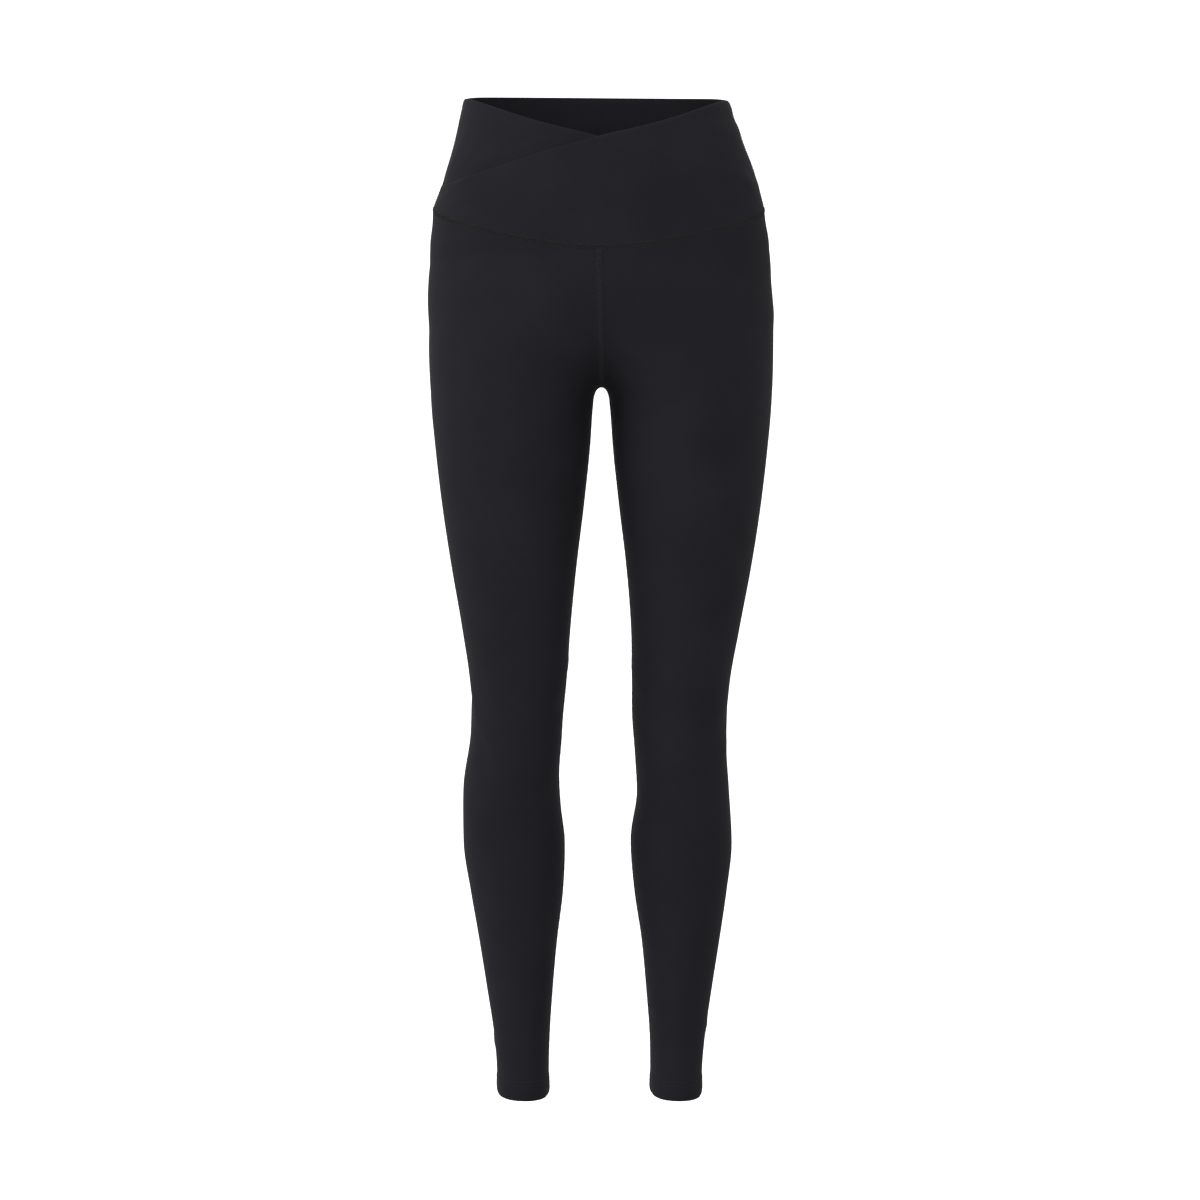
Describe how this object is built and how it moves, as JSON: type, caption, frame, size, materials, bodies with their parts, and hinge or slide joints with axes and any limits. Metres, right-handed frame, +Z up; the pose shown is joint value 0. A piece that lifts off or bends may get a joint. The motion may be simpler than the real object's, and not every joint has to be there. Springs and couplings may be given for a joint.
{
  "type": "crossover leggings, filled out with no wearer",
  "caption": "High-waisted full-length leggings with a wide crossover waistband, held open as when worn, with an open waist and open hems.",
  "frame": {"origin": "middle of the waistband's hollow, 54 mm below its top edge, where the wearer's waist holds it", "axes": "+Z up along the body, -Y the front, +X the wearer's left"},
  "size_m": [0.3437, 0.2352, 1.0039],
  "materials": {
    "leg_cloth": "brushed interlock jersey of polyamide and elastane, matt black",
    "band_cloth": "the same jersey, folded double"
  },
  "bodies": {
    "root": {"leg_left": "leg_cloth", "leg_right": "leg_cloth", "waistband_back": "band_cloth", "waistband_front_left": "band_cloth", "waistband_front_right": "band_cloth"}
  },
  "joints": []
}
